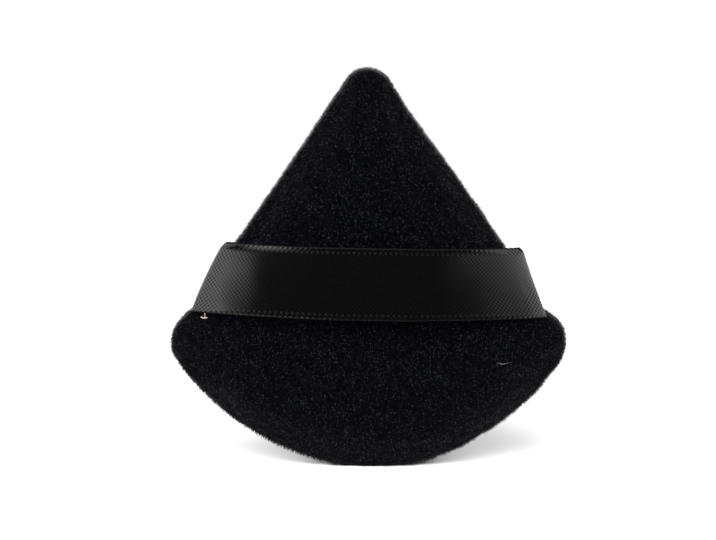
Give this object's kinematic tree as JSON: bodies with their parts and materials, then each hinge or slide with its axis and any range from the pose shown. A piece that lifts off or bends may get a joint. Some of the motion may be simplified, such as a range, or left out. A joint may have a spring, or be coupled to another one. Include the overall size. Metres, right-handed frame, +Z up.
{
  "type": "powder puff",
  "caption": "Fan-shaped powder puff of black velour round a foam pad, with a satin ribbon across its front that holds the fingers.",
  "frame": {"origin": "on the floor under the middle of the puff's box, which stands on its round bottom edge", "axes": "+Z up to the point of the fan, -Y out of the face with the ribbon, +X to the right seen from that face"},
  "size_m": [0.084, 0.02, 0.0848],
  "materials": {
    "velour": "black short-pile velour, dull, with fine lighter flecks",
    "foam": "cream open-cell polyurethane foam, cut faces",
    "satin": "black satin ribbon with woven edges, soft sheen along its length",
    "thread": "black polyester sewing thread"
  },
  "bodies": {
    "root": {"front_velour_panel": "velour", "back_velour_panel": "velour", "foam_core": "foam", "finger_ribbon": "satin", "perimeter_seam_thread": "thread", "closing_seam_thread": "thread", "left_ribbon_tack": "thread", "right_ribbon_tack": "thread"}
  },
  "joints": []
}
